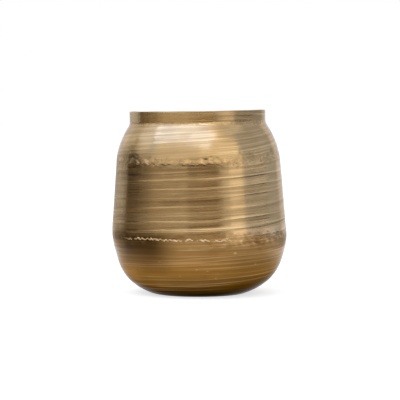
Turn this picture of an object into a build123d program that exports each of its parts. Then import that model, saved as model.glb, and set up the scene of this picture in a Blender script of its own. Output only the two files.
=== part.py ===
"""A hand-built cachepot of brass sheet: collar, shoulder, drum and bowl, joined by raised weld beads.

The pot stands on its flat base with its axis along +Z and the origin at the centre of the base.
Lengths are in millimetres and angles in degrees. Every piece is turned from a section in which
x is the radius and y is the height, so that pieces that meet share the same lines.
"""
import os
from math import asin, atan2, cos, degrees, radians, sin, tan

from build123d import *

# Sheet that every shell is made of
wall = 1.2
root_gap = 0.8

# Bowl, the spun bottom: from the base up to the lower seam
bowl_height = 57.0
bowl_taper = 15.6
bottom_radius = 49.0
bottom_lean = 74.6
base_rounding = 2.5

# Drum, the tall band that widens a little towards its foot, where a knuckle rounds it into the bowl
drum_height = 71.0
drum_taper = 4.4
knuckle_radius = 62.0
knuckle_rise = 4.0

# Shoulder, the dome between drum and collar
shoulder_height = 37.4

# Collar, the upright ring round the mouth, and how far the belly swells out past it
collar_diameter = 132.2
collar_height = 12.6
collar_tuck = 3.2
lip_rounding = 0.45
belly_swell = 18.9

# Weld beads and the braze under the collar
bead_width = 6.0
bead_crown = 0.7
bead_root = 0.3
drum_bead_width = 4.5
drum_bead_crown = 0.4
braze_leg = 2.4

# Where the rolled strips are closed: the back of the pot
closing_azimuth = 90.0

# Places that follow from the sizes above
collar_radius = collar_diameter / 2
widest_radius = collar_radius + belly_swell
lower_seam_height = bowl_height
widest_height = lower_seam_height + knuckle_rise
upper_seam_height = lower_seam_height + drum_height
crease_height = upper_seam_height + shoulder_height
rim_height = crease_height + collar_height
collar_foot_height = crease_height - collar_tuck
knuckle_centre = widest_radius - knuckle_radius
knuckle_top_radius = knuckle_centre + knuckle_radius * cos(radians(drum_taper))
knuckle_top_height = widest_height + knuckle_radius * sin(radians(drum_taper))
knuckle_foot_height = widest_height - knuckle_radius * sin(radians(bowl_taper))
flank_foot_height = bottom_radius * (sin(radians(bottom_lean)) - sin(radians(bowl_taper)))
flank_length = (knuckle_foot_height - flank_foot_height) / cos(radians(bowl_taper))
upper_seam_radius = knuckle_top_radius - (upper_seam_height - knuckle_top_height) * tan(radians(drum_taper))
lower_seam_lean = -degrees(asin(knuckle_rise / knuckle_radius))
lower_seam_radius = knuckle_centre + knuckle_radius * cos(radians(lower_seam_lean))
crease_chord = degrees(atan2(upper_seam_radius - collar_radius, crease_height - upper_seam_height))
crease_lean = 2 * crease_chord - drum_taper
braze_height = crease_height - 2 * wall
collar_gap = degrees(root_gap / collar_radius)
drum_gap = degrees(root_gap / widest_radius)
drum_bead_angle = degrees(drum_bead_width / widest_radius)


def upright_plane(azimuth):
    """The half plane through the axis at an azimuth, with its x axis pointing outwards."""
    turn = radians(azimuth)
    return Plane(origin=(0, 0, 0), x_dir=(cos(turn), sin(turn), 0), z_dir=(sin(turn), -cos(turn), 0))


def turned(section, first_azimuth=0, angle=360):
    """A section turned about the axis, all the way round or through part of a turn."""
    with BuildPart() as piece:
        with BuildSketch(upright_plane(first_azimuth)):
            add(section.sketch)
        revolve(axis=Axis.Z, revolution_arc=angle)
    return piece.part


def band(low, high):
    """A rectangle from the axis to outside the pot, between two heights."""
    with Locations((0, low)):
        Rectangle(2 * widest_radius, high - low, align=(Align.MIN, Align.MIN), mode=Mode.SUBTRACT)


def bead_ellipse(radius, height, lean, mode=Mode.ADD):
    """The section of a bead: an ellipse through the sheet, proud of it outside and a little inside."""
    half_depth = (bead_crown + wall + bead_root) / 2
    with Locations((radius + bead_crown - half_depth, height)):
        Ellipse(half_depth, bead_width / 2, rotation=lean, mode=mode)


# The body's sheet in one run, from the crease under the collar to the centre of the base
with BuildSketch() as body_section:
    with BuildLine() as outline:
        knuckle = CenterArc((knuckle_centre, widest_height), knuckle_radius, drum_taper, -drum_taper - bowl_taper)
        side = Line(knuckle @ 0, (upper_seam_radius, upper_seam_height))
        TangentArc(side @ 1, (collar_radius, crease_height), tangent=side % 1)
        flank = PolarLine(knuckle @ 1, flank_length, direction=knuckle % 1)
        bottom = JernArc(flank @ 1, flank % 1, bottom_radius, bowl_taper - bottom_lean)
        Line(bottom @ 1, (0, 0))
        base_edge = outline.vertices().group_by(Axis.Y)[0].sort_by(Axis.X)[-1]
        fillet(base_edge, radius=base_rounding)
        offset(amount=wall, side=Side.RIGHT)
    make_face()

upper_gap = (upper_seam_height - root_gap / 2, upper_seam_height + root_gap / 2)
lower_gap = (lower_seam_height - root_gap / 2, lower_seam_height + root_gap / 2)

# Collar: a strip rolled into a hoop with a rounded lip, open at the back by the gap that its weld closes
with BuildSketch() as collar_section:
    with Locations((collar_radius, collar_foot_height)):
        Rectangle(wall, rim_height - collar_foot_height, align=(Align.MAX, Align.MIN))
    fillet(collar_section.vertices().group_by(Axis.Y)[-1], radius=lip_rounding)

with BuildPart() as collar:
    add(turned(collar_section, closing_azimuth + collar_gap / 2, 360 - collar_gap))

# Weld that closes the collar, ground flush with the strip
with BuildPart() as collar_weld:
    add(turned(collar_section, closing_azimuth - collar_gap / 2, collar_gap))

# Shoulder: a spun ring with a hole that clears the collar by the gap that the braze fills
with BuildSketch() as shoulder_section:
    add(body_section.sketch)
    band(0, upper_gap[1])
    Rectangle(collar_radius + root_gap, rim_height, align=(Align.MIN, Align.MIN), mode=Mode.SUBTRACT)

with BuildPart() as shoulder:
    add(turned(shoulder_section))

# Drum: a strip rolled into a tapered hoop, open at the back by the gap that its weld closes
with BuildSketch() as drum_section:
    add(body_section.sketch)
    band(0, lower_gap[1])
    band(upper_gap[0], rim_height)

with BuildPart() as drum:
    add(turned(drum_section, closing_azimuth + drum_gap / 2, 360 - drum_gap))

# Bowl: a spun dish with a flat base
with BuildSketch() as bowl_section:
    add(body_section.sketch)
    band(lower_gap[0], rim_height)

with BuildPart() as bowl:
    add(turned(bowl_section))

# Beads of weld metal that fill the two seams
with BuildSketch() as upper_bead_section:
    bead_ellipse(upper_seam_radius, upper_seam_height, drum_taper)
    add(shoulder_section.sketch, mode=Mode.SUBTRACT)
    add(drum_section.sketch, mode=Mode.SUBTRACT)

with BuildPart() as upper_weld:
    add(turned(upper_bead_section))

with BuildSketch() as lower_bead_section:
    bead_ellipse(lower_seam_radius, lower_seam_height, lower_seam_lean)
    add(drum_section.sketch, mode=Mode.SUBTRACT)
    add(bowl_section.sketch, mode=Mode.SUBTRACT)

with BuildPart() as lower_weld:
    add(turned(lower_bead_section))

# Upright bead that closes the drum: metal in the gap, and a crown over it between the seam beads
with BuildSketch() as drum_crown_section:
    with BuildLine():
        foot = CenterArc((knuckle_centre, widest_height), knuckle_radius, drum_taper, lower_seam_lean - drum_taper)
        Line(foot @ 0, (upper_seam_radius, upper_seam_height))
        offset(amount=drum_bead_crown, side=Side.LEFT)
    make_face()
    bead_ellipse(upper_seam_radius, upper_seam_height, drum_taper, mode=Mode.SUBTRACT)
    bead_ellipse(lower_seam_radius, lower_seam_height, lower_seam_lean, mode=Mode.SUBTRACT)

with BuildPart() as drum_weld:
    add(turned(drum_section, closing_azimuth - drum_gap / 2, drum_gap))
    add(turned(drum_crown_section, closing_azimuth - drum_bead_angle / 2, drum_bead_angle))

# Braze between collar and shoulder: it fills the gap and ends in a fillet in the crease, wiped flat
with BuildSketch() as braze_section:
    with BuildLine():
        upper_toe = (collar_radius, crease_height + braze_leg)
        lower_toe = (
            collar_radius + braze_leg * sin(radians(crease_lean)),
            crease_height - braze_leg * cos(radians(crease_lean)),
        )
        gap_foot = (collar_radius + root_gap, braze_height)
        Polyline(upper_toe, lower_toe, gap_foot, (collar_radius, braze_height), close=True)
    make_face()
    add(shoulder_section.sketch, mode=Mode.SUBTRACT)

with BuildPart() as collar_braze:
    add(turned(braze_section))

pieces = {
    "collar": collar,
    "shoulder": shoulder,
    "drum": drum,
    "bowl": bowl,
    "collar_braze": collar_braze,
    "upper_weld": upper_weld,
    "lower_weld": lower_weld,
    "drum_weld": drum_weld,
    "collar_weld": collar_weld,
}
os.makedirs("parts", exist_ok=True)
for name, piece in pieces.items():
    piece.part.label = name
    export_step(piece.part, f"parts/{name}.step")
    print(name, len(piece.solids()), "solid,", round(piece.part.volume, 1), "cubic mm")
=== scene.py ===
# %% [markdown]
# # A hand-built brass cachepot
# The pot is made the way a small workshop makes it: four pieces of brass sheet, joined by welds that were
# hammered and brushed over but never hidden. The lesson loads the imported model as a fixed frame, and
# dresses each piece of it in turn. Everything is in metres, with the axis of the pot along Z.

# %% Load the frame
from math import asin, atan, atan2, cos, degrees, hypot, pi, radians, sin, tan

import bpy
import numpy as np
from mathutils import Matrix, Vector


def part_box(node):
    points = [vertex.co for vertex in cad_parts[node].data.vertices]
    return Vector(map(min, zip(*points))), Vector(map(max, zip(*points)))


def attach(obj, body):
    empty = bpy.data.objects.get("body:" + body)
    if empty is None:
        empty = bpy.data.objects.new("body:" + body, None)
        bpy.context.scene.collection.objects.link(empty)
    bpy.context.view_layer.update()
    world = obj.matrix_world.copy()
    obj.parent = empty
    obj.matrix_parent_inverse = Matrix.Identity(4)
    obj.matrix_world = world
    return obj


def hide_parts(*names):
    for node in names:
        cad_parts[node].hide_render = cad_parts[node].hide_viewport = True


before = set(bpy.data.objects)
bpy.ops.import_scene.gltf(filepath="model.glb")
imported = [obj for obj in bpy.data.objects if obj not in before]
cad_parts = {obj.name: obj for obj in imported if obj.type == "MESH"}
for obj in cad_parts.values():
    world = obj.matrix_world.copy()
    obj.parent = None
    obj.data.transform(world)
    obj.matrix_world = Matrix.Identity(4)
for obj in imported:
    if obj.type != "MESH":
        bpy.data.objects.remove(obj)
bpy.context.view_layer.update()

# %% [markdown]
# The camera comes first, because every later choice is judged through it. The photograph shows the rim
# edge on and little perspective, so a long lens stands far away at the height of the rim, and looks down
# by so little that the sides stay upright.

# %% Camera
rim_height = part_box("collar")[1].z
camera_distance = 1.775
frame_width = 0.391
picture_centre_height = 0.0906
picture_centre_side = 0.0015
camera_tilt = atan((rim_height - picture_centre_height) / camera_distance)
bpy.ops.object.select_all(action="DESELECT")
bpy.ops.object.camera_add(
    location=(picture_centre_side, -camera_distance, rim_height), rotation=(pi / 2 - camera_tilt, 0, 0)
)
camera = bpy.context.object
camera.data.lens = camera.data.sensor_width * camera_distance / cos(camera_tilt) / frame_width
bpy.context.scene.camera = camera
bpy.context.scene.view_settings.view_transform = "Standard"
print("lens", round(camera.data.lens, 1), "mm")

# %% [markdown]
# All the sheets share one outline, so its sizes come next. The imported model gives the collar, the widest
# place, the seams and the rim. The tapers and radii that it doesn't show are those that it was drawn with.

# %% Sizes of the pot
wall = 0.0012
drum_taper = radians(4.4)
bowl_taper = radians(15.6)
knuckle_radius = 0.062
knuckle_rise = 0.004
bottom_radius = 0.049
bottom_lean = radians(74.6)
base_rounding = 0.0025
collar_height = 0.0126

collar_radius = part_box("collar")[1].x
collar_foot_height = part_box("collar")[0].z
widest_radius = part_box("drum")[1].x
upper_seam_height = (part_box("shoulder")[0].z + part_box("drum")[1].z) / 2
lower_seam_height = (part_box("drum")[0].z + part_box("bowl")[1].z) / 2
widest_height = lower_seam_height + knuckle_rise
crease_height = rim_height - collar_height
print("seams at", round(lower_seam_height * 1000, 1), "and", round(upper_seam_height * 1000, 1), "mm")

# %% [markdown]
# The outline runs from the crease under the collar to the middle of the base, in arcs and lines that each
# leave the last one in the same direction. A place on the pot is then a length down this outline and an
# angle round the axis, as on the flat sheet before rolling.

# %% Outline of the body
sample_step = 0.0002
outline = []


def follow_arc(radius, first, last):
    """Goes on from the end of the outline along an arc, between two leans of the surface."""
    start_radius, start_height, _ = outline[-1]
    centre_radius = start_radius - radius * cos(first)
    centre_height = start_height - radius * sin(first)
    steps = max(3, int(radius * abs(last - first) / sample_step))
    for lean in np.linspace(first, last, steps)[1:]:
        reach = centre_radius + radius * cos(lean)
        outline.append((reach, centre_height + radius * sin(lean), lean))


def follow_line(length, lean):
    """Goes on from the end of the outline along a straight line."""
    start_radius, start_height, _ = outline[-1]
    for run in np.linspace(0, length, max(3, int(length / sample_step)))[1:]:
        outline.append((start_radius + run * sin(lean), start_height - run * cos(lean), lean))


knuckle_top_radius = widest_radius - knuckle_radius + knuckle_radius * cos(drum_taper)
knuckle_top_height = widest_height + knuckle_radius * sin(drum_taper)
side_length = (upper_seam_height - knuckle_top_height) / cos(drum_taper)
seam_radius = knuckle_top_radius - side_length * sin(drum_taper)
dome_chord = hypot(seam_radius - collar_radius, crease_height - upper_seam_height)
dome_tilt = atan2(seam_radius - collar_radius, crease_height - upper_seam_height)
crease_lean = 2 * dome_tilt - drum_taper
dome_radius = dome_chord / (2 * sin((crease_lean - drum_taper) / 2))
flank_foot_height = bottom_radius * (sin(bottom_lean) - sin(bowl_taper))
flank_top_height = widest_height - knuckle_radius * sin(bowl_taper)
flank_length = (flank_top_height - flank_foot_height) / cos(bowl_taper)
bottom_stop = asin(
    (bottom_radius * sin(bottom_lean) - base_rounding) / (bottom_radius - base_rounding)
)

outline.append((collar_radius, crease_height, crease_lean))
follow_arc(dome_radius, crease_lean, drum_taper)
upper_seam_row = len(outline) - 1
follow_line(side_length, drum_taper)
follow_arc(knuckle_radius, drum_taper, -bowl_taper)
follow_line(flank_length, -bowl_taper)
follow_arc(bottom_radius, -bowl_taper, -bottom_stop)
follow_arc(base_rounding, -bottom_stop, -pi / 2)
base_edge_row = len(outline) - 1
follow_line(outline[-1][0], -pi / 2)

path_radius, path_height, path_lean = np.array(outline).T
path_length = np.concatenate([[0], np.cumsum(np.hypot(np.diff(path_radius), np.diff(path_height)))])
upper_seam = path_length[upper_seam_row]
base_edge = path_length[base_edge_row]
base_centre = path_length[-1]


def length_at(height):
    """How far down the outline a height is, above the base."""
    return float(np.interp(-height, -path_height[: base_edge_row + 1], path_length[: base_edge_row + 1]))


lower_seam = length_at(lower_seam_height)
print("outline", len(outline), "points,", round(base_centre * 1000, 1), "mm from crease to centre")

# %% [markdown]
# The real pot isn't quite true. Its upper seam and its collar climb to the right, the body leans a
# millimetre, and the bowl is fuller on the right and drawn in at the foot. These faults make it look made
# by hand, so one function adds them to every piece alike, and neighbours keep touching.

# %% Faults of the hand
seam_climb = 0.0023
seam_saddle = 0.0046
collar_climb = tan(radians(0.85))
lean_out = 0.0028
lean_back = 0.0039
bowl_reach = 0.07
bowl_swell = 0.006
bowl_shift = 0.0009
foot_reach = 0.014
foot_pinch = 0.032


def seam_drop(angle):
    """How far the upper seam slides down the sheet; below zero it slides up."""
    return -seam_climb * np.sin(angle) - seam_saddle * np.sin(angle) ** 2


def place(angle, radius, height):
    """Points round the axis, with all these faults."""
    belly = np.sin(pi * np.clip(height / bowl_reach, 0, 1))
    pinch = foot_pinch * np.clip(1 - height / foot_reach, 0, 1)
    radius = radius * (1 + bowl_swell * belly - pinch)
    side = radius * np.sin(angle) + bowl_shift * belly
    depth = -radius * np.cos(angle)
    share = np.clip((height - upper_seam_height) / (crease_height - upper_seam_height), 0, 1)
    level = height / rim_height
    height = height + collar_climb * side * share * share * (3 - 2 * share)
    side = side + lean_out * level - lean_back * level * level
    return np.column_stack([side, depth, height])


def on_body(angle, length, rise):
    """Points at a length down the outline, with a rise off the surface."""
    radius = np.interp(length, path_length, path_radius)
    height = np.interp(length, path_length, path_height)
    lean = np.interp(length, path_length, path_lean)
    return place(angle, radius + rise * np.cos(lean), height + rise * np.sin(lean))


print("upper seam climbs", round(1000 * (seam_climb + seam_saddle), 1), "mm to the right")

# %% [markdown]
# A rolled hoop starts as a flat strip, so each piece starts as a flat grid. Marks are easy to set out on
# it, and one formula rolls it up. A bend modifier couldn't follow this outline. Two numbers stay on each
# vertex for the finish: the level of the brush line through it, and how far it was rubbed bright, which is
# below zero in dents. The second also carries the painted shadow under the upper seam, and the collar's
# painted light and shade.

# %% Strips of sheet
line_climb = 0.0033
turn_stops = np.radians([-180, -90, 0, 45, 90, 180])
climb_stops = [0.68, -1.57, 0, 1.12, 2.93, 0.68]
rubbed_rise = 0.0001
merge_distance = 0.000005
smooth_angle = radians(50)


def wrapped(angle):
    """An angle brought between half a turn left and half a turn right."""
    return (angle + pi) % (2 * pi) - pi


def angle_round(share):
    """The angle round the pot at a share of the strip's length; the front is 0."""
    return (2 * share - 1) * pi


def flat_strip(name, columns, rows):
    """A flat grid, with each vertex's share of the length and its row."""
    bpy.ops.object.select_all(action="DESELECT")
    bpy.ops.mesh.primitive_grid_add(x_subdivisions=columns, y_subdivisions=rows, size=1)
    strip = bpy.context.object
    strip.name = name
    places = np.empty(3 * len(strip.data.vertices))
    strip.data.vertices.foreach_get("co", places)
    places = places.reshape(-1, 3)
    share = np.rint((places[:, 0] + 0.5) * columns) / columns
    row = np.rint((places[:, 1] + 0.5) * rows).astype(int)
    return strip, share, row


def store_marks(strip, points, relief, climb, painted_shadow):
    """Keeps the level of the brush lines, and the rubbing with the painted shadow taken off, on the
    vertices.
    """
    turn = np.arctan2(points[:, 0], -points[:, 1])
    line_level = strip.data.attributes.new("line_level", "FLOAT", "POINT")
    line_level.data.foreach_set("value", points[:, 2] - climb * np.interp(turn, turn_stops, climb_stops))
    if relief is not None:
        rubbed_and_shaded = strip.data.attributes.new("rubbed_and_shaded", "FLOAT", "POINT")
        # the painted shadow under the upper seam is taken off the rubbing here
        rubbed_and_shaded.data.foreach_set("value", np.clip(relief / rubbed_rise, -1, 1) - painted_shadow)


def mark_inside(strip, row, inner_from):
    """Gives the second finish to the faces of the rows from inner_from on."""
    corner = np.empty(4 * len(strip.data.polygons), dtype=int)
    strip.data.polygons.foreach_get("vertices", corner)
    inside = row[corner].reshape(-1, 4).min(axis=1) >= inner_from
    strip.data.polygons.foreach_set("material_index", inside.astype(int))


def roll_up(strip, points, node, relief=None, climb=line_climb, painted_shadow=0):
    """Rolls the strip up, joins its edges and hands it to the frame."""
    store_marks(strip, points, relief, climb, painted_shadow)
    strip.data.vertices.foreach_set("co", points.ravel())
    strip.data.update()
    bpy.ops.object.mode_set(mode="EDIT")
    bpy.ops.mesh.select_all(action="SELECT")
    bpy.ops.mesh.remove_doubles(threshold=merge_distance)
    bpy.ops.mesh.normals_make_consistent(inside=False)
    bpy.ops.object.mode_set(mode="OBJECT")
    bpy.ops.object.shade_smooth_by_angle(angle=smooth_angle)
    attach(strip, "root")
    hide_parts(node)
    print(strip.name, len(strip.data.polygons), "faces")
    return strip


print("a brush line climbs", line_climb * 1000, "mm for each radian at the front")

# %% [markdown]
# On the lathe a stiff brush and a burnishing tool left long raised lines that climb as they go round. They
# have to bend the reflections, so they are real shape: a rise off the surface, added before the strip is
# rolled. Most are left to a seeded chance. The strongest can be recognised in the photograph, and each
# sheet has a short list of them.

# %% Raised lines of the brush
line_wander = 0.0003
slow_wave = 2.3
quick_wave = 5.9
quick_share = 0.6
climb_bend = 0.55
line_heights = (-0.000022, 0.00005)
line_reaches = (0.3, 1.6)
line_slopes = (0.6, 1.4)
lines_seed = 11


def ridge(angle, length, start, width, height, centre, reach, climb=line_climb, wave=0.0):
    """A raised line that climbs, wanders a little and fades out at both ends."""
    from_centre = wrapped(angle - centre)
    slow = np.sin(slow_wave * from_centre + wave)
    quick = np.sin(quick_wave * from_centre + 2 * wave)
    wander = line_wander * (slow + quick_share * quick)
    place_round = centre + from_centre
    bend = climb_bend * np.clip(place_round, 0, pi / 2) ** 2
    across = length - start + climb * (place_round + bend) + wander
    window = np.clip(1 - np.abs(from_centre) / reach, 0, 1)
    return height * np.exp(-((across / width) ** 2)) * np.sqrt(window)


def brush_lines(angle, length, first, last, count, seed, finest, coarsest, climb=line_climb, lift=1.0):
    """Many faint raised lines and grooves between two lengths down the outline."""
    chance = np.random.default_rng(seed)
    rise = np.zeros_like(length)
    for _ in range(count):
        rise += ridge(
            angle, length,
            start=chance.uniform(first, last),
            width=chance.uniform(finest, coarsest),
            height=lift * chance.uniform(*line_heights),
            centre=chance.uniform(-pi, pi),
            reach=chance.uniform(*line_reaches),
            climb=climb * chance.uniform(*line_slopes),
            wave=chance.uniform(0, 2 * pi),
        )
    return rise


def strong_lines(angle, length, ridges, climb=line_climb):
    """The lines of a list: height at the front, half width, rise, and middle and reach in degrees."""
    rise = np.zeros_like(length)
    for height, width, lift, centre, reach in ridges:
        start = length_at(height)
        rise += ridge(angle, length, start, width, lift, radians(centre), radians(reach), climb)
    return rise


print("a faint line rises up to", line_heights[1] * 1000, "mm")

# %% [markdown]
# Around the welds a hammer left shallow dents, most of them on the right, where it beat the beads nearly
# flat. They are a rise too, below zero in the dents. Hand work wanders, so one function gives a ragged
# line round the pot, and another says how much of a bead is left.

# %% Marks of the hammer
dent_depth = 0.0001
dent_sizes = (0.0011, 0.0026)
dent_shares = (-1, 0.6)
dent_squash = 1.6
dent_spread = 0.0035
ragged_points = 4001
share_fade = radians(20)


def dents(angle, across, radius, seed, count, spread=dent_spread, centre=0.0, reach=pi):
    """Shallow hammer marks along a seam; across is the distance from the seam."""
    chance = np.random.default_rng(seed)
    rise = np.zeros_like(across)
    for _ in range(count):
        size = chance.uniform(*dent_sizes)
        along = radius * wrapped(angle - centre - chance.uniform(-reach, reach))
        off = across - chance.normal(0, spread)
        hollow = np.exp(-(along**2 + dent_squash * off**2) / size**2)
        rise += chance.uniform(*dent_shares) * dent_depth * hollow
    return rise


def ragged(angle, lowest, highest, seed):
    """A wandering line round the pot, between about -1 and 1, that closes on itself."""
    chance = np.random.default_rng(seed)
    waves = np.arange(lowest, highest)
    turns = chance.uniform(0, 2 * pi, len(waves))
    weights = chance.uniform(0.3, 1.0, len(waves)) / np.sqrt(waves)
    grid = np.linspace(-pi, pi, ragged_points)
    line = (weights[:, None] * np.cos(waves[:, None] * grid + turns[:, None])).sum(axis=0)
    return np.interp(wrapped(angle), grid, line / np.abs(line).max())


def front_share(angle, first, last, rest):
    """1 between two angles in degrees, falling to a smaller share elsewhere."""
    middle = radians((first + last) / 2)
    half = radians((last - first) / 2)
    share = np.clip((half - np.abs(wrapped(angle - middle))) / share_fade + 0.5, 0, 1)
    return rest + (1 - rest) * share


def below_upper_seam(angle, length):
    """How far down the outline a place is from the upper seam."""
    return length - upper_seam - seam_drop(angle)


def upper_dents(angle, length):
    """Hammer marks along the upper seam, most of them on the right."""
    across = below_upper_seam(angle, length)
    rise = dents(angle, across, seam_radius, seed=21, count=300)
    return rise + dents(angle, across, seam_radius, seed=22, count=150, centre=0.75, reach=0.75)


def lower_dents(angle, length):
    """Hammer marks along the lower seam, most of them on the right."""
    across = length - lower_seam
    rise = dents(angle, across, widest_radius, seed=23, count=300)
    more = dents(angle, across, widest_radius, seed=24, count=150, spread=0.0040, centre=0.85, reach=0.65)
    return rise + more


print("dents are up to", dent_depth * 1000, "mm deep")

# %% [markdown]
# At the upper seam the shoulder ends in a ragged edge, a little proud of the drum. A painted shadow
# under it makes a thin dark line, strongest at the front on the left. The drum carries that line too,
# so it is set out first.

# %% Painted shadow under the upper seam
edge_teeth = 0.0019
edge_wander = 0.0010
shadow_drop = 0.0009
shadow_half = 0.0007


def ragged_edge(angle):
    """Where the shoulder's ragged edge ends, across the upper seam."""
    return edge_teeth * ragged(angle, 25, 90, 51) + edge_wander * ragged(angle, 3, 25, 52)


def undercut_shadow(angle, length):
    """How dark the painted shadow under the ragged edge is, from 0 to 1."""
    below = below_upper_seam(angle, length) - ragged_edge(angle)
    return np.exp(-(((below - shadow_drop) / shadow_half) ** 2)) * front_share(angle, -62, 10, 0.25)


print("painted_shadow", 2 * shadow_half * 1000, "mm wide")

# %% [markdown]
# The three sheets of the body are made alike. The rows of a strip run down the outer face, round the edge
# and back up the inner face, and its columns run round the pot. The drum carries the longest lines.

# %% Drum
drum_columns = 560
drum_outer_rows = 150
drum_inner_rows = 10
drum_ridges = [
    (0.1205, 0.0007, 0.00008, -18, 30),
    (0.1140, 0.0008, 0.00013, 30, 95),
    (0.1052, 0.0007, 0.00011, 25, 95),
    (0.0970, 0.0006, 0.00008, 5, 80),
    (0.0883, 0.0006, 0.00008, -25, 45),
    (0.0827, 0.0006, 0.00006, -10, 40),
    (0.0750, 0.0007, 0.00010, 20, 90),
    (0.0665, 0.0011, 0.00034, 34, 90),
]


def sheet(name, node, columns, outer_shares, inner_rows, ends, relief_of, climb=line_climb, painted_shadow_of=None):
    """A sheet of the body; functions give its ends, its relief and its painted shadow."""
    shares = np.concatenate([outer_shares, np.linspace(1, 0, inner_rows + 1), [0]])
    rises = np.concatenate([np.zeros(len(outer_shares)), np.full(inner_rows + 1, -wall), [0]])
    strip, share, row = flat_strip(name, columns, len(shares) - 1)
    angle = angle_round(share)
    first, last = ends(angle)
    length = first + shares[row] * (last - first)
    outside = rises[row] == 0
    relief = np.where(outside, relief_of(angle, length), 0)
    painted_shadow = np.where(outside, painted_shadow_of(angle, length), 0) if painted_shadow_of else 0
    mark_inside(strip, row, len(outer_shares))
    points = on_body(angle, length, rises[row] + relief)
    return roll_up(strip, points, node, relief, climb, painted_shadow)


def drum_ends(angle):
    return upper_seam + seam_drop(angle), lower_seam


def drum_relief(angle, length):
    rise = brush_lines(
        angle, length, upper_seam, lower_seam, count=300, seed=lines_seed, finest=0.00035, coarsest=0.0009
    )
    rise += strong_lines(angle, length, drum_ridges)
    return rise + upper_dents(angle, length) + lower_dents(angle, length)


drum = sheet(
    "drum_sheet", "drum", drum_columns, np.linspace(0, 1, drum_outer_rows + 1), drum_inner_rows,
    drum_ends, drum_relief, painted_shadow_of=undercut_shadow,
)

# %% [markdown]
# The shoulder is a ring spun over a wooden form, with a hole for the collar. It is brushed like the drum,
# and its lower edge carries the dents of the hammer that dressed the weld.

# %% Shoulder
shoulder_columns = 480
shoulder_outer_rows = 110
shoulder_inner_rows = 8
shoulder_start = 0.0008
shoulder_climb = 0.0042
shoulder_ridges = [
    (0.1580, 0.0006, 0.00008, -28, 24),
    (0.1500, 0.0006, 0.00010, 9, 15),
    (0.1540, 0.0005, 0.00008, 44, 20),
    (0.1510, 0.0004, 0.00007, 52, 22),
    (0.1482, 0.0005, 0.00009, 44, 22),
    (0.1455, 0.0005, 0.00009, 38, 24),
    (0.1420, 0.0006, 0.00014, 38, 28),
    (0.1402, 0.0005, 0.00009, 32, 26),
    (0.1375, 0.0006, 0.00014, 40, 28),
    (0.1350, 0.0005, 0.00010, 46, 24),
    (0.1325, 0.0005, 0.00009, 52, 24),
]


def shoulder_ends(angle):
    return shoulder_start, upper_seam + seam_drop(angle)


def shoulder_relief(angle, length):
    rise = brush_lines(
        angle, length, 0.0, upper_seam, count=110, seed=lines_seed + 1, finest=0.0004, coarsest=0.0012
    )
    rise += strong_lines(angle, length, shoulder_ridges, shoulder_climb)
    return rise + upper_dents(angle, length)


shoulder = sheet(
    "shoulder_sheet", "shoulder", shoulder_columns, np.linspace(0, 1, shoulder_outer_rows + 1),
    shoulder_inner_rows, shoulder_ends, shoulder_relief, shoulder_climb,
)

# %% [markdown]
# The bowl is one spun dish with a flat base, so its strip runs to the middle of the base and back up
# inside. Its middle rows fall on one point there, and merging them closes the pole. A few raised chips
# catch the light.

# %% Bowl
bowl_columns = 480
bowl_wall_rows = 150
bowl_base_rows = 14
bowl_inner_rows = 18
bowl_climb = 0.0015
base_fade = 0.004
bowl_ridges = [
    (0.0478, 0.0005, 0.00010, -5, 12),
    (0.0415, 0.0005, 0.00011, -6, 24),
    (0.0355, 0.0004, 0.00007, -18, 22),
    (0.0300, 0.0004, 0.00004, 10, 40),
    (0.0240, 0.0004, 0.00004, -15, 35),
]
chip_rise = 0.00018
chip_flatness = 0.6
chips = [
    # degrees round from the front, height, half length
    (23.5, 0.0445, 0.0032),
    (-2.0, 0.0290, 0.0016),
    (5.5, 0.0275, 0.0014),
    (-28.0, 0.0360, 0.0016),
    (41.0, 0.0330, 0.0018),
    (12.0, 0.0205, 0.0013),
    (-14.0, 0.0225, 0.0012),
    (115.0, 0.0400, 0.0022),
    (-140.0, 0.0350, 0.0020),
]


def bowl_ends(angle):
    return lower_seam, base_centre


def bowl_chips(angle, length):
    """Small raised chips, each a flat diamond."""
    rise = np.zeros_like(length)
    radius = np.interp(length, path_length, path_radius)
    for chip_angle, chip_height, chip_size in chips:
        along = np.abs(radius * wrapped(angle - radians(chip_angle)))
        down = np.abs(length - length_at(chip_height))
        rise += chip_rise * np.clip(1 - along / chip_size - down / (chip_flatness * chip_size), 0, 1)
    return rise


def bowl_relief(angle, length):
    rise = brush_lines(
        angle, length, lower_seam, base_edge - base_fade, count=280, seed=lines_seed + 2,
        finest=0.0003, coarsest=0.0007, lift=1.6,
    )
    rise += strong_lines(angle, length, bowl_ridges, bowl_climb)
    rise += lower_dents(angle, length) + bowl_chips(angle, length)
    return rise * np.clip((base_edge - length) / base_fade, 0, 1)


wall_share = (base_edge - lower_seam) / (base_centre - lower_seam)
bowl_shares = np.concatenate([
    np.linspace(0, wall_share, bowl_wall_rows + 1), np.linspace(wall_share, 1, bowl_base_rows + 1)[1:]
])
bowl = sheet(
    "bowl_dish", "bowl", bowl_columns, bowl_shares, bowl_inner_rows, bowl_ends, bowl_relief, bowl_climb
)

# %% [markdown]
# The collar is a narrow strip rolled into a hoop, with its lip rounded by a file. Its section is drawn
# once, over the lip from outside to inside, and the strip's rows follow it. Its colour carries painted
# light on the left and painted shade on the right, and it sways a little, as a thin hoop does.

# %% Collar
collar_columns = 480
collar_face_rows = 40
lip_rows = 8
lip_radius = wall / 2
collar_flare = tan(radians(0.5))
collar_wave = 0.00015
rim_dip = 0.0008
collar_line_climb = 0.0006
line_contrast = 3
rubbed_front = 0.00006
left_light_right_shade = 0.00024


def collar_sway(angle, height):
    """How far the collar stands off its true place, outwards and upwards."""
    share = np.clip((height - crease_height) / collar_height, 0, 1)
    wave = collar_wave * ragged(angle, 2, 14, 31)
    return wave + collar_flare * collar_height * share, wave - rim_dip * np.cos(angle) ** 2 * share


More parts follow.
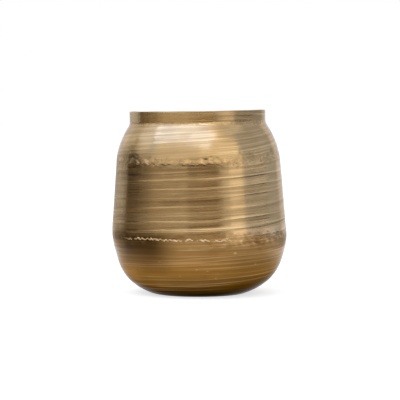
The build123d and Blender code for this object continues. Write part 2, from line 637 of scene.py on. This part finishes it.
lip_turn = np.linspace(0, pi, lip_rows + 1)[1:-1]
face_heights = np.linspace(collar_foot_height, rim_height - lip_radius, collar_face_rows + 1)
section_radius = np.concatenate([
    np.full(collar_face_rows + 1, collar_radius),
    collar_radius - lip_radius + lip_radius * np.cos(lip_turn),
    np.full(collar_face_rows + 1, collar_radius - wall),
    [collar_radius],
])
section_height = np.concatenate([
    face_heights,
    rim_height - lip_radius + lip_radius * np.sin(lip_turn),
    face_heights[::-1],
    [collar_foot_height],
])
strip, share, row = flat_strip("collar_hoop", collar_columns, len(section_radius) - 1)
mark_inside(strip, row, collar_face_rows + lip_rows // 2)
angle = angle_round(share)
lines = brush_lines(
    angle, section_height[row], collar_foot_height, rim_height, count=70, seed=lines_seed + 3,
    finest=0.0004, coarsest=0.0009, climb=collar_line_climb,
)
# painted light on the left of the collar and painted shade on its right
rubbing = rubbed_front - left_light_right_shade * np.sin(angle)
relief = np.where(row <= collar_face_rows, line_contrast * lines + rubbing, 0)
outwards, upwards = collar_sway(angle, section_height[row])
points = place(angle, section_radius[row] + outwards + lines, section_height[row] + upwards)
collar = roll_up(strip, points, "collar", relief, collar_line_climb)

# %% [markdown]
# The upper bead is the ragged edge of the shoulder, and the lower one a thin row of nicks. The strip of a
# bead is wider than the bead: where its rise falls below the sheet it is hidden, and that gives the ragged
# edge for nothing.

# %% Weld beads
bead_columns = 1200
bead_rows = 36
root_rows = 3
bead_half_width = 0.0064
bead_root = -0.0007
saw_rise = 0.7


def bead_strip(name, node, seam, drop, rubbing, rise_of, painted_shadow_of=None):
    """A bead along a seam; rise_of gives its rise at an angle and a distance across it."""
    across = np.concatenate([
        np.linspace(-bead_half_width, bead_half_width, bead_rows + 1),
        np.linspace(bead_half_width, -bead_half_width, root_rows + 1),
        [-bead_half_width],
    ])
    strip, share, row = flat_strip(name, bead_columns, len(across) - 1)
    angle = angle_round(share)
    crown = (row <= bead_rows) | (row == len(across) - 1)
    rise = np.where(crown, rise_of(angle, across[row]), bead_root)
    length = seam + drop(angle) + across[row]
    relief = np.where(crown, rubbing * rise, 0)
    # The painted shadow under the upper seam darkens the bead too.
    painted_shadow = painted_shadow_of(angle, length) if painted_shadow_of else 0
    return roll_up(strip, on_body(angle, length, rise), node, relief, painted_shadow=painted_shadow)


def saw(phase):
    """A saw-tooth wave from 0 to 1 that rises slowly and falls fast."""
    share = phase - np.floor(phase)
    return np.where(share < saw_rise, share / saw_rise, (1 - share) / (1 - saw_rise))


print("a bead's strip is", 2 * bead_half_width * 1000, "mm wide")

# %% [markdown]
# The upper bead swells towards its ragged edge and falls steeply past it. The hammer left most of it
# standing at the front, on the left.

# %% Upper bead
edge_rise = 0.00050
edge_swell = 0.0050
edge_fall = 0.0007
edge_sink = 0.00003
upper_rubbing = 0.12


def upper_bead(angle, across):
    """The ragged edge of the shoulder, standing proud of the drum."""
    off = across - ragged_edge(angle)
    swell = np.clip(1 + off / edge_swell, 0, 1) ** 1.5
    fall = np.clip(off / edge_fall, 0, None)
    lift = edge_rise * front_share(angle, -50, 18, 0.3) * (0.7 + 0.5 * ragged(angle, 12, 90, 53))
    rise = lift * swell * (1 - fall**2) - edge_sink
    return np.maximum(rise, bead_root) + upper_dents(angle, upper_seam + seam_drop(angle) + across)


upper_weld = bead_strip(
    "upper_seam_bead", "upper_weld", upper_seam, seam_drop, upper_rubbing, upper_bead, undercut_shadow
)

# %% [markdown]
# The lower bead is finer. Each nick is a short ridge, and the row breaks off where the hammer hit it.
# Little of it is left on the right and at the back.

# %% Lower bead
nick_pitch = 0.0054
nick_zigzag = 0.0007
nick_wander = 0.0008
nick_half = 0.0008
nick_rise = 0.00048
nick_sink = 0.00004
lower_rubbing = 0.3


def lower_bead(angle, across):
    """A thin row of nicks that zigzags along the seam."""
    turns = round(2 * pi * widest_radius / nick_pitch)
    phase = turns * angle / (2 * pi) + 0.5 * ragged(angle, 12, 70, 43)
    centre = nick_wander * ragged(angle, 3, 40, 41) + nick_zigzag * (2 * saw(phase) - 1)
    half = nick_half * (1 + 0.35 * ragged(angle, 20, 140, 42))
    shape = 1 - ((across - centre) / half) ** 2
    broken = np.clip(0.60 + 1.2 * ragged(angle, 30, 120, 45), 0.08, 1)
    height = nick_rise * front_share(angle, -50, 24, 0.12)
    rise = height * shape * broken - nick_sink
    return np.maximum(rise, bead_root) + lower_dents(angle, lower_seam + across)


lower_weld = bead_strip(
    "lower_seam_bead", "lower_weld", lower_seam, np.zeros_like, lower_rubbing, lower_bead
)

# %% [markdown]
# An upright weld closes the rolled drum at the back, where nobody looks. It was left raised between the
# seams, so the puddles that the welder laid one over another still show as crescents.

# %% Closing weld of the drum
drum_bead_half = 0.00225
drum_bead_rows = 12
drum_bead_columns = 220
drum_bead_rise = 0.00042
drum_bead_bend = 0.0006
drum_bead_root = -wall - 0.0001
drum_bead_sink = 0.00002
puddle_pitch = 0.0045
puddle_curve = 1.2
puddle_radius = 0.032
puddle_turn = 2.2


def crescents(angle, across, seed):
    """The overlapping puddles of a weld, from 0 in the hollows to 1 on the crests."""
    wander = 0.55 * ragged(angle, 12, 90, seed)
    turns = round(2 * pi * puddle_radius / puddle_pitch)
    return saw(turns * angle / (2 * pi) + wander + np.abs(across) * puddle_curve / puddle_pitch)


across = np.concatenate([
    np.linspace(-drum_bead_half, drum_bead_half, drum_bead_rows + 1),
    np.linspace(drum_bead_half, -drum_bead_half, 3),
    [-drum_bead_half],
])
strip, share, row = flat_strip("drum_closing_bead", drum_bead_columns, len(across) - 1)
length = upper_seam + share * (lower_seam - upper_seam)
bend = drum_bead_bend * ragged(share * 5, 1, 20, 61)
puddles = crescents(share * puddle_turn, across[row], 62)
crown = (row <= drum_bead_rows) | (row == len(across) - 1)
arch = 1 - (across[row] / drum_bead_half) ** 2
lift = drum_bead_rise * arch * (0.5 + 0.5 * puddles) - drum_bead_sink
rise = np.where(crown, lift, drum_bead_root)
angle = pi + (across[row] + bend) / np.interp(length, path_length, path_radius)
drum_weld = roll_up(strip, on_body(angle, length, rise), "drum_weld")

# %% [markdown]
# The collar is closed at the back too, but its weld was filed flush, so only a thin line shows. The strip
# goes round the weld's section, and up from the collar's foot to its lip.

# %% Closing weld of the collar
collar_bead_half = 0.0009
collar_bead_rows = 30
collar_bead_wander = 0.0002
proud = 0.00004
lip_follow = 0.8
ring_side = np.array([-1, -0.5, 0, 0.5, 1, 1, 0.5, 0, -0.5, -1, -1])
ring_outer = np.array([1, 1, 1, 1, 1, 0, 0, 0, 0, 0, 1])
strip, share, row = flat_strip("collar_closing_bead", collar_bead_rows, len(ring_side) - 1)
height = collar_foot_height + share * (rim_height - collar_foot_height)
lip_inset = np.clip(height - rim_height + lip_radius, 0, lip_radius) * lip_follow
outer_radius = collar_radius + proud - lip_inset
inner_radius = collar_radius - wall - proud + lip_inset
radius = np.where(ring_outer[row] > 0, outer_radius, inner_radius)
edge_line = collar_bead_wander * ragged(share * 6, 1, 14, 63)
angle = pi + (ring_side[row] * collar_bead_half + edge_line) / collar_radius
outwards, upwards = collar_sway(angle, height)
collar_weld = roll_up(strip, place(angle, radius + outwards, height + upwards), "collar_weld")

# %% [markdown]
# Braze runs into the gap between collar and shoulder and wets both, so it ends in a small hollow fillet: a
# curve from toe to toe that bends in towards the crease. It was fed by hand, so the bright line isn't
# quite even. Two more rows close it behind the sheet.

# %% Braze in the crease
braze_columns = 600
braze_rows = 12
braze_leg = 0.0020
leg_wander = 0.22
lump_rise = 0.00013
strip, share, row = flat_strip("crease_braze", braze_columns, braze_rows + 3)
angle = angle_round(share)
leg = braze_leg * (1 + leg_wander * ragged(angle, 6, 70, 71))
upper_toe = (collar_radius, crease_height + leg)
lower_toe = (collar_radius + leg * sin(crease_lean), crease_height - leg * cos(crease_lean))
down = np.clip(row / braze_rows, 0, 1)
first_part = (1 - down) ** 2
middle_part = 2 * down * (1 - down)
last_part = down**2
lump = lump_rise * (0.6 + 0.5 * ragged(angle, 20, 160, 72)) * np.sin(pi * down)
radius = first_part * upper_toe[0] + middle_part * collar_radius + last_part * lower_toe[0] + lump
height = first_part * upper_toe[1] + middle_part * crease_height + last_part * lower_toe[1]
closing_rows = (
    # radius and height of each row behind the sheet, and of the last one, back at the upper toe
    (collar_radius + wall / 2, crease_height - 2.5 * wall),
    (collar_radius - wall / 2, crease_height - wall),
    upper_toe,
)
for number, (closing_radius, closing_height) in enumerate(closing_rows, start=braze_rows + 1):
    radius = np.where(row == number, closing_radius, radius)
    height = np.where(row == number, closing_height, height)
collar_braze = roll_up(strip, place(angle, radius, height), "collar_braze")

# %% [markdown]
# The finishes are networks of nodes, and a few short functions make the nodes that they share. A node goes
# into the tree of the output that drives it.

# %% Nodes for the finishes


def new_material(name):
    """A material and its tree of nodes."""
    material = bpy.data.materials.new(name)
    material.use_nodes = True
    return material, material.node_tree


def feed(socket, value):
    """Links a socket to the output of another node, or sets it to a colour or a number."""
    if isinstance(value, bpy.types.NodeSocket):
        socket.id_data.links.new(value, socket)
    elif socket.type == "RGBA":
        socket.default_value = (*value, 1)
    else:
        socket.default_value = value


def add(tree, kind, inputs, **settings):
    """Makes a node, sets it up, feeds its inputs and gives back its outputs."""
    node = tree.nodes.new(kind)
    for name, value in settings.items():
        setattr(node, name, value)
    for name, value in inputs.items():
        feed(node.inputs[name], value)
    return node.outputs


def ramp(value, low, high, first, last, curve="LINEAR"):
    """A value spread from one range to another, and held at the ends."""
    ends = {"From Min": low, "From Max": high, "To Min": first, "To Max": last}
    inputs = {"Value": value, **ends}
    return add(value.id_data, "ShaderNodeMapRange", inputs, interpolation_type=curve)["Result"]


def mix(factor, first, last, way="MIX"):
    """Two colours mixed, or one multiplied by the other."""
    inputs = {"Factor": factor, "A": first, "B": last}
    return add(factor.id_data, "ShaderNodeMix", inputs, data_type="RGBA", blend_type=way)["Result"]


def maths(operation, *values):
    """One step of arithmetic; the first value is another node's output."""
    return add(values[0].id_data, "ShaderNodeMath", dict(enumerate(values)), operation=operation)["Value"]


def noise(pattern, scale, detail):
    """A noise that is stretched by a scale along each axis."""
    stretched = add(pattern.id_data, "ShaderNodeMapping", {"Vector": pattern, "Scale": scale})["Vector"]
    inputs = {"Vector": stretched, "Scale": 1.0, "Detail": detail}
    return add(pattern.id_data, "ShaderNodeTexNoise", inputs)["Fac"]


def place_parts(tree):
    """The place on the object, whole and split into X, Y and Z."""
    whole = add(tree, "ShaderNodeTexCoord", {})["Object"]
    return whole, add(tree, "ShaderNodeSeparateXYZ", {"Vector": whole})


print("functions for the nodes are ready")

# %% [markdown]
# Painted shade darkens the bowl towards the foot. Left and right carry painted light and shade of their
# own, and the flanks a pale, bluish painted reflection. A list holds one tint for each height, and
# multiplies the metal's tone. The heights shift a little along the brush lines, and rubbed places take
# less of the painted shade, so that they show as painted bright streaks.

# %% Painted shade of the foot
edge_colour = (0.66, 0.63, 0.60)
plain = (1.0, 1.0, 1.0)
shade_heights = (0.0, 0.004, 0.011, 0.024, 0.036, 0.050, 0.057, 0.069)
# painted shade: the bowl darkens towards the foot
painted_foot_shade = (
    (0.02, 0.016, 0.013), (0.062, 0.046, 0.052), (0.27, 0.175, 0.060), (0.57, 0.395, 0.148),
    (0.61, 0.44, 0.225), (0.61, 0.48, 0.31), (0.60, 0.485, 0.335), plain,
)
# painted light and shade on the left side of the bowl, by height
left_light_and_shade = (
    plain, (1.3, 1.25, 1.2), (1.3, 1.28, 1.2), (0.84, 0.82, 0.80),
    (0.46, 0.44, 0.42), (0.16, 0.145, 0.12), (0.30, 0.28, 0.24), plain,
)
# painted shade on the right side of the bowl, with a pale bluish painted reflection near the lower seam
right_light_and_shade = (
    plain, (0.80, 0.78, 0.75), (0.75, 0.73, 0.70), (0.78, 0.76, 0.74),
    (0.66, 0.65, 0.63), (1.02, 1.06, 1.17), (2.55, 2.70, 3.15), plain,
)
# painted reflection, pale and bluish, on the left flank of the bowl
left_flank_reflection = (
    plain, (1.4, 1.45, 1.7), (1.6, 1.75, 2.3), (1.6, 1.75, 2.3), (1.3, 1.4, 1.6), plain, plain, plain,
)
# painted reflection, pale and bluish, on the right flank of the bowl
right_flank_reflection = (
    plain, plain, plain, (1.05, 1.1, 1.2), (1.25, 1.4, 1.8), (1.35, 1.5, 2.0), (1.25, 1.4, 1.75), plain,
)
# painted shade and painted reflection in the edge tint: darker towards the foot, paler on the bowl
edge_reflection_and_shade = (
    (0.42, 0.40, 0.38), (0.44, 0.42, 0.40), (0.50, 0.47, 0.44), (0.62, 0.57, 0.50),
    (0.80, 0.77, 0.72), (0.85, 0.83, 0.80), (0.80, 0.78, 0.75), edge_colour,
)
streak_shift = 0.012


def by_height(height, tints):
    """The tint at a height; above the last one it stays the same."""
    shade = height.id_data.nodes.new("ShaderNodeValToRGB")
    feed(shade.inputs["Fac"], ramp(height, 0, shade_heights[-1], 0, 1))
    stops = shade.color_ramp.elements
    stops.remove(stops[1])
    for stop_height, tint in zip(shade_heights, tints):
        stop = stops.new(stop_height / shade_heights[-1])
        stop.color = (*tint, 1)
    stops.remove(stops[0])
    return shade.outputs["Color"]


def paint_foot_shade(tone, parts, streaks, rubbed_and_shaded):
    """The tone with the painted shade and painted reflections over it, thinner where the metal was rubbed.
    """
    shift = maths("MULTIPLY_ADD", streaks, streak_shift, -streak_shift / 2)
    level = maths("ADD", parts["Z"], shift)
    off_middle = maths("ABSOLUTE", parts["X"])
    inner_end = ramp(off_middle, 0.014, 0.046, 0, 1, "SMOOTHSTEP")
    outer_end = ramp(off_middle, 0.066, 0.084, 1, 0.2, "SMOOTHSTEP")
    right_half = ramp(parts["X"], -0.01, 0.01, 0, 1)
    left_tint = by_height(level, left_light_and_shade)
    right_tint = by_height(level, right_light_and_shade)
    layers = (
        # how far the layer covers the metal, and its tint
        (ramp(rubbed_and_shaded, 0.1, 0.9, 1, 0.7), by_height(level, painted_foot_shade)),
        (maths("MULTIPLY", inner_end, outer_end), mix(right_half, left_tint, right_tint)),
        (ramp(parts["X"], -0.050, -0.070, 0, 1), by_height(level, left_flank_reflection)),
        (ramp(parts["X"], 0.060, 0.076, 0, 1), by_height(level, right_flank_reflection)),
    )
    for cover, tint in layers:
        tone = mix(cover, tone, tint, way="MULTIPLY")
    return tone


print("painted shade up to", shade_heights[-1] * 1000, "mm")

# %% [markdown]
# Brushing leaves grooves much finer than any mesh could carry, so they are a noise that is squeezed flat
# along the level of the brush lines. It drives the bump, the gloss and a slight change of colour, because
# on real metal one scratch does all three. Raised places were rubbed bright and the dents are stained, and
# the crevice under the upper seam is painted dark as a shadow. Grooves that run one way spread highlights
# across them, so the anisotropy is turned a quarter from the direction round the axis.

# %% Brass finish
polished = (0.64, 0.47, 0.26)
# painted shadow in the crevice under the upper seam; the deepest dents take a little of it as grime
shadow_and_grime = (0.10, 0.066, 0.03)
gloss_spread = 0.06
bump_strength = 0.6
fine_share = 0.2
quarter_turn = 0.25
brushed_scales = ((14, 14, 2600), (6, 6, 420), (9, 9, 950))
hammered_scales = ((1500, 1500, 1500), (260, 260, 260), (700, 700, 700))
patch_scale = (38, 38, 70)
band_scale = (5, 5, 130)


def worn_tone(pattern, broad, hair, rubbed_and_shaded, light, dark, stain):
    """The colour of the metal: two tones along the lines, then stains, rubbed places, and painted shadow
    with grime.
    """
    patches = noise(pattern, patch_scale, 4)
    bands = noise(pattern, band_scale, 2)
    layers = (
        # what drives the layer, its range, how far the layer covers at both ends, and its colour
        (broad, 0.3, 0.7, 0, 1, light),
        (hair, 0.5, 0.72, 0, 0.26, polished),
        (hair, 0.3, 0.46, 0.22, 0, stain),
        (bands, 0.5, 0.75, 0, 0.6, stain),
        (patches, 0.52, 0.75, 0, 0.55, stain),
        (rubbed_and_shaded, -0.8, 0, 0.5, 0, stain),
        (rubbed_and_shaded, 0.2, 1, 0, 0.7, polished),
        # painted shadow: the darkest layer falls mostly in the crevice under the upper seam
        (rubbed_and_shaded, -1.6, -0.9, 0.85, 0, shadow_and_grime),
    )
    tone = dark
    for driver, low, high, first, last, colour in layers:
        tone = mix(ramp(driver, low, high, first, last), tone, colour)
    return tone


def metal(name, light, dark, stain, roughness, line_bump, anisotropy, brushed=True, foot=False):
    """A brass finish, brushed or hammered, with or without the painted shade of the foot."""
    material, tree = new_material(name)
    pattern, parts = place_parts(tree)
    if brushed:
        level = add(tree, "ShaderNodeAttribute", {}, attribute_name="line_level")["Fac"]
        pattern = add(tree, "ShaderNodeCombineXYZ", {"X": parts["X"], "Y": parts["Y"], "Z": level})["Vector"]
    fine_scale, broad_scale, hair_scale = brushed_scales if brushed else hammered_scales
    detail = 3 if brushed else 4
    fine = noise(pattern, fine_scale, detail)
    broad = noise(pattern, broad_scale, detail)
    hair = noise(pattern, hair_scale, 2)
    rubbed_and_shaded = add(tree, "ShaderNodeAttribute", {}, attribute_name="rubbed_and_shaded")["Fac"]
    tone = worn_tone(pattern, broad, hair, rubbed_and_shaded, light, dark, stain)
    if foot:
        tone = paint_foot_shade(tone, parts, broad, rubbed_and_shaded)
    grooves = maths("MULTIPLY_ADD", fine, fine_share, broad)
    bump = {"Strength": bump_strength, "Distance": line_bump, "Height": grooves}
    looks = {
        "Base Color": tone,
        "Metallic": 1.0,
        "Roughness": ramp(broad, 0.3, 0.7, roughness + gloss_spread, roughness - gloss_spread),
        "Specular Tint": edge_colour,
        "Anisotropic": anisotropy,
        "Anisotropic Rotation": quarter_turn,
        "Normal": add(tree, "ShaderNodeBump", bump)["Normal"],
    }
    if brushed:
        looks["Tangent"] = add(tree, "ShaderNodeTangent", {}, direction_type="RADIAL", axis="Z")["Tangent"]
    shader = tree.nodes["Principled BSDF"]
    for socket, value in looks.items():
        feed(shader.inputs[socket], value)
    # The edge tint carries painted shade towards the foot and a painted reflection on the bowl.
    if foot:
        feed(shader.inputs["Specular Tint"], by_height(parts["Z"], edge_reflection_and_shade))
    print("finish", name)
    return material


print("the finest grooves are", round(1000 / brushed_scales[0][2], 2), "mm apart")

# %% [markdown]
# Three finishes dress the pot. The outside is brushed, the inside was left as it came from the lathe,
# duller and darker, and the welds are hammered metal with no direction in it.

# %% Dress the pieces
brushed_brass = metal(
    "brushed brass with painted foot shade", light=(0.51, 0.36, 0.19), dark=(0.39, 0.265, 0.13), stain=(0.29, 0.19, 0.09),
    roughness=0.22, line_bump=0.00012, anisotropy=0.5, foot=True,
)
inner_brass = metal(
    "unbrushed brass inside", light=(0.36, 0.25, 0.13), dark=(0.27, 0.18, 0.09), stain=(0.17, 0.12, 0.06),
    roughness=0.46, line_bump=0.00004, anisotropy=0.2,
)
weld_brass = metal(
    "hammered weld brass", light=(0.54, 0.375, 0.19), dark=(0.38, 0.25, 0.115), stain=(0.22, 0.14, 0.065),
    roughness=0.25, line_bump=0.00008, anisotropy=0.0, brushed=False,
)
for piece in (collar, shoulder, drum, bowl):
    piece.data.materials.append(brushed_brass)
    piece.data.materials.append(inner_brass)
for piece in (upper_weld, lower_weld, drum_weld, collar_weld, collar_braze):
    piece.data.materials.append(weld_brass)

# %% [markdown]
# Metal shows little but what it reflects, so the room is half of the picture. The studio is white, and
# curved panels stand round the pot, each a piece of a tall cylinder, given by the angles at which the pot
# sees it. Only reflections show them, so they cast no shade on the paper.

# %% Panels of the studio
panel_distance = 2.2
panel_faces = 120
eye_height = 0.09


def glowing(name, colour):
    """A plain glowing material."""
    material, tree = new_material(name)
    tree.nodes.clear()
    glow = add(tree, "ShaderNodeEmission", {"Color": colour})["Emission"]
    add(tree, "ShaderNodeOutputMaterial", {"Surface": glow})
    return material


def set_in_room(made, material):
    """Puts a panel or a card on the stage, where only reflections show it."""
    made.data.materials.append(material)
    made.visible_camera = False
    made.visible_diffuse = False
    made.visible_shadow = False


def panel(name, first, last, low, high, colour):
    """A curved panel between two azimuths, from the camera round to the right, and two elevations."""
    bottom = eye_height + panel_distance * tan(radians(low))
    top = eye_height + panel_distance * tan(radians(high))
    bpy.ops.object.select_all(action="DESELECT")
    bpy.ops.mesh.primitive_cylinder_add(
        vertices=panel_faces, radius=panel_distance, depth=top - bottom,
        end_fill_type="NOTHING", location=(0, 0, (top + bottom) / 2),
    )
    made = bpy.context.object
    made.name = name
    bpy.ops.object.mode_set(mode="EDIT")
    bpy.ops.mesh.select_mode(type="FACE")
    bpy.ops.mesh.select_all(action="DESELECT")
    bpy.ops.object.mode_set(mode="OBJECT")
    for face in made.data.polygons:
        azimuth = degrees(atan2(face.center.x, -face.center.y))
        face.select = not first < azimuth < last
    bpy.ops.object.mode_set(mode="EDIT")
    bpy.ops.mesh.delete(type="FACE")
    bpy.ops.object.mode_set(mode="OBJECT")
    set_in_room(made, glowing(name, colour))


print("panels stand", panel_distance, "m from the pot")

# %% [markdown]
# The panels make the upright bands on the metal: a dim one in front at eye level, brighter ones above and
# below it, a bright strip on the right, a dark one on the left that draws the deep stripe, and pale ones
# that light the rims. Panels of a middle tone between them keep the edges soft.

# %% Set up the panels
room = [
    # name, first and last azimuth, low and high elevation, colour
    ("front_panel_left", -60, -14, 3, 9, (0.19, 0.145, 0.085)),
    ("front_panel_left_low", -60, -14, -4, 3, (0.80, 0.66, 0.45)),
    ("front_panel_left_high", -66, -14, 9, 38, (1.22, 1.18, 1.10)),
    ("front_panel_left_top", -66, -40, 38, 60, (0.80, 0.84, 0.95)),
    ("front_panel_soft", -14, 4, 1, 12, (0.19, 0.14, 0.075)),
    ("front_panel_centre", 4, 27, 1, 13, (0.15, 0.105, 0.055)),
    ("front_panel_soft_low", -14, 4, -4, 1, (1.14, 0.90, 0.57)),
    ("front_panel_centre_low", 4, 27, -4, 1, (1.38, 1.08, 0.68)),
    ("front_panel_soft_mid", -14, 4, 12, 17, (0.98, 0.86, 0.66)),
    ("front_panel_soft_high", -14, 4, 17, 38, (1.27, 1.21, 1.10)),
    ("front_panel_centre_mid", 4, 27, 13, 17, (0.94, 0.82, 0.62)),
    ("front_panel_centre_high", 4, 27, 17, 38, (1.58, 1.48, 1.31)),
    ("bright_strip_edge", 27, 34, -4, 11, (0.45, 0.40, 0.33)),
    ("bright_strip_side", 34, 41, -4, 11, (0.90, 0.85, 0.78)),
    ("bright_strip_low", 41, 62, -4, 1, (0.55, 0.50, 0.43)),
    ("bright_strip", 41, 62, 1, 11, (1.64, 1.57, 1.50)),
    ("front_panel_right_high", 27, 62, 11, 38, (1.48, 1.41, 1.29)),
    ("front_panel_right_top", 24, 42, 38, 68, (1.50, 1.40, 1.24)),
    ("front_panel_right_top_side", 42, 54, 38, 68, (1.18, 1.12, 1.02)),
    ("right_panel_foot", 62, 105, -4, 2.4, (0.11, 0.105, 0.10)),
    ("right_panel_low", 62, 105, 2.4, 9, (1.20, 1.25, 1.40)),
    ("right_panel_high", 62, 105, 9, 46, (0.64, 0.67, 0.74)),
    ("right_panel_top", 62, 105, 46, 60, (1.25, 1.28, 1.36)),
    ("dark_panel_low", -114, -102, -4, 2, (0.30, 0.235, 0.155)),
    ("dark_panel_low_right", -102, -88, -4, 2, (0.42, 0.335, 0.22)),
    ("dark_panel", -114, -88, 2, 9, (0.002, 0.0015, 0.001)),
    ("dark_panel_rise", -114, -91, 9, 13, (0.10, 0.08, 0.06)),
    ("left_panel_rise", -91, -66, 9.5, 12.5, (0.78, 0.72, 0.62)),
    ("dark_panel_mid", -114, -100, 13, 17, (0.40, 0.37, 0.32)),
    ("dark_panel_mid_edge", -100, -95, 13, 17, (0.62, 0.58, 0.52)),
    ("dark_panel_top", -114, -104, 17, 28, (0.62, 0.60, 0.56)),
    ("dark_panel_top_edge", -104, -95, 17, 28, (0.95, 0.95, 0.95)),
    ("dark_panel_edge_low", -88, -69, -4, 2, (0.55, 0.445, 0.30)),
    ("front_panel_edge_low", -69, -60, -4, 2, (0.66, 0.54, 0.365)),
    ("dark_panel_edge", -88, -78, 2, 9.5, (0.05, 0.038, 0.022)),
    ("dark_panel_fade", -78, -69, 2, 9.5, (0.18, 0.145, 0.095)),
    ("front_panel_edge", -69, -60, 2, 9, (0.28, 0.225, 0.15)),
    ("left_panel_high", -95, -80, 13, 28, (1.14, 1.16, 1.21)),
    ("left_panel_high_right", -80, -66, 12, 28, (1.08, 1.11, 1.18)),
    ("left_panel_top", -114, -78, 28, 60, (1.24, 1.33, 1.64)),
    ("left_panel_behind_lamp", -78, -66, 28, 60, (0.60, 0.66, 0.82)),
    ("side_panel_edge", -122, -114, -4, 9, (0.46, 0.46, 0.48)),
    ("side_panel_edge_high", -122, -114, 9, 20, (0.62, 0.62, 0.63)),
    ("side_panel_left", -134, -122, -4, 10, (0.68, 0.73, 0.84)),
    ("side_panel_left_high", -134, -122, 10, 60, (0.95, 1.00, 1.12)),
    ("left_rim_panel_low", -178, -134, -4, 2, (0.78, 0.79, 0.82)),
    ("left_rim_panel", -178, -134, 2, 60, (1.30, 1.36, 1.54)),
    ("side_panel_right", 105, 138, -4, 12, (0.78, 0.86, 1.04)),
    ("side_panel_right_high", 105, 138, 12, 60, (0.72, 0.78, 0.92)),
    ("right_rim_panel", 138, 178, -4, 60, (1.34, 1.41, 1.60)),
]
for name, first, last, low, high, colour in room:
    panel(name, first, last, low, high, colour)
print(len(room), "panels")

# %% [markdown]
# Cards lie on the floor where the camera doesn't see it. Without them the white paper would shine up into
# the drum, the collar and the sides of the bowl. They are graduated, so that no hard edge shows in the
# metal.

# %% Cards on the floor
card_lift = 0.001
card_reach = 2.2
card_back = 0.9
side_start = 0.21
side_stop = 0.75
front_start = -0.7
front_stop = -1.2


def graduated(name, axis, near, far, near_colour, far_colour):
    """A glowing material whose colour changes along X or Y, between two places."""
    material = glowing(name, far_colour)
    tree = material.node_tree
    _, parts = place_parts(tree)
    colour = mix(ramp(parts[axis], near, far, 0, 1), near_colour, far_colour)
    feed(tree.nodes["Emission"].inputs["Color"], colour)
    return material


def card(name, left, right, front, back, material):
    """A card on the floor, from left to right and from front to back."""
    bpy.ops.object.select_all(action="DESELECT")
    bpy.ops.mesh.primitive_plane_add(size=1, location=((left + right) / 2, (front + back) / 2, card_lift))
    made = bpy.context.object
    made.name = name
    bpy.ops.transform.resize(value=(right - left, back - front, 1))
    bpy.ops.object.transform_apply(location=True, rotation=True, scale=True)
    set_in_room(made, material)
    print(name, round(right - left, 2), "by", round(back - front, 2), "m")


left_tones = graduated("left card", "X", -side_start, -side_stop, (0.92, 0.86, 0.76), (0.20, 0.16, 0.105))
right_tones = graduated("right card", "X", side_start, side_stop, (0.66, 0.63, 0.58), (0.18, 0.165, 0.14))
front_tones = graduated("front card", "Y", front_start, front_stop, (0.62, 0.56, 0.47), (0.62, 0.51, 0.35))
card("card_left", -card_reach, -side_start, front_start, card_back, left_tones)
card("card_right", side_start, card_reach, front_start, card_back, right_tones)
card("card_front", -card_reach, card_reach, -card_reach, front_start, front_tones)

# %% [markdown]
# One large soft lamp hangs above on the left. It makes the pale patch on the shoulder, and it is cooler
# than the room, as daylight is.

# %% Lamp
lamp_distance = 2.0
lamp_azimuth = radians(-29)
lamp_elevation = radians(54)
lamp_width = 3.15
lamp_height = 1.15
lamp_power = 16.4
lamp_colour = (0.70, 0.91, 1.54)
lamp_reach = lamp_distance * cos(lamp_elevation)
lamp_top = rim_height + lamp_distance * sin(lamp_elevation)
bpy.ops.object.select_all(action="DESELECT")
bpy.ops.object.light_add(
    type="AREA",
    location=(lamp_reach * sin(lamp_azimuth), -lamp_reach * cos(lamp_azimuth), lamp_top),
    rotation=(pi / 2 - lamp_elevation, 0, lamp_azimuth),
)
lamp = bpy.context.object
lamp.data.shape = "RECTANGLE"
lamp.data.size = lamp_width
lamp.data.size_y = lamp_height
lamp.data.energy = lamp_power
lamp.data.color = lamp_colour
print("lamp at", [round(value, 2) for value in lamp.location])

# %% [markdown]
# The floor is white paper. Nearly half of what the camera and the metal see of it is its own white, so
# that it joins the white backdrop without an edge. The rest is lit, so that the pot's shadow stays on it.

# %% Floor and backdrop
floor_size = 40
own_white = 0.45
white_strength = 1.5
paper_colour = (0.88, 0.88, 0.88)
bpy.ops.object.select_all(action="DESELECT")
bpy.ops.mesh.primitive_plane_add(size=floor_size)
floor = bpy.context.object
floor.name = "floor"
paper, tree = new_material("white paper")
lit = tree.nodes["Principled BSDF"]
for socket, value in (("Base Color", paper_colour), ("Roughness", 1.0), ("Specular IOR Level", 0.0)):
    feed(lit.inputs[socket], value)
white = add(tree, "ShaderNodeEmission", {"Strength": white_strength})["Emission"]
rays = add(tree, "ShaderNodeLightPath", {})
seen = maths("MAXIMUM", rays["Is Camera Ray"], rays["Is Glossy Ray"])
seen = maths("MAXIMUM", seen, rays["Is Transmission Ray"])
share = maths("MULTIPLY", seen, own_white)
blend = add(tree, "ShaderNodeMixShader", {"Fac": share, 1: lit.outputs["BSDF"], 2: white})["Shader"]
feed(tree.nodes["Material Output"].inputs["Surface"], blend)
floor.data.materials.append(paper)

world = bpy.data.worlds.new("white studio")
bpy.context.scene.world = world
world.use_nodes = True
world.node_tree.nodes["Background"].inputs["Color"].default_value = (1, 1, 1, 1)
print("floor and backdrop are white")
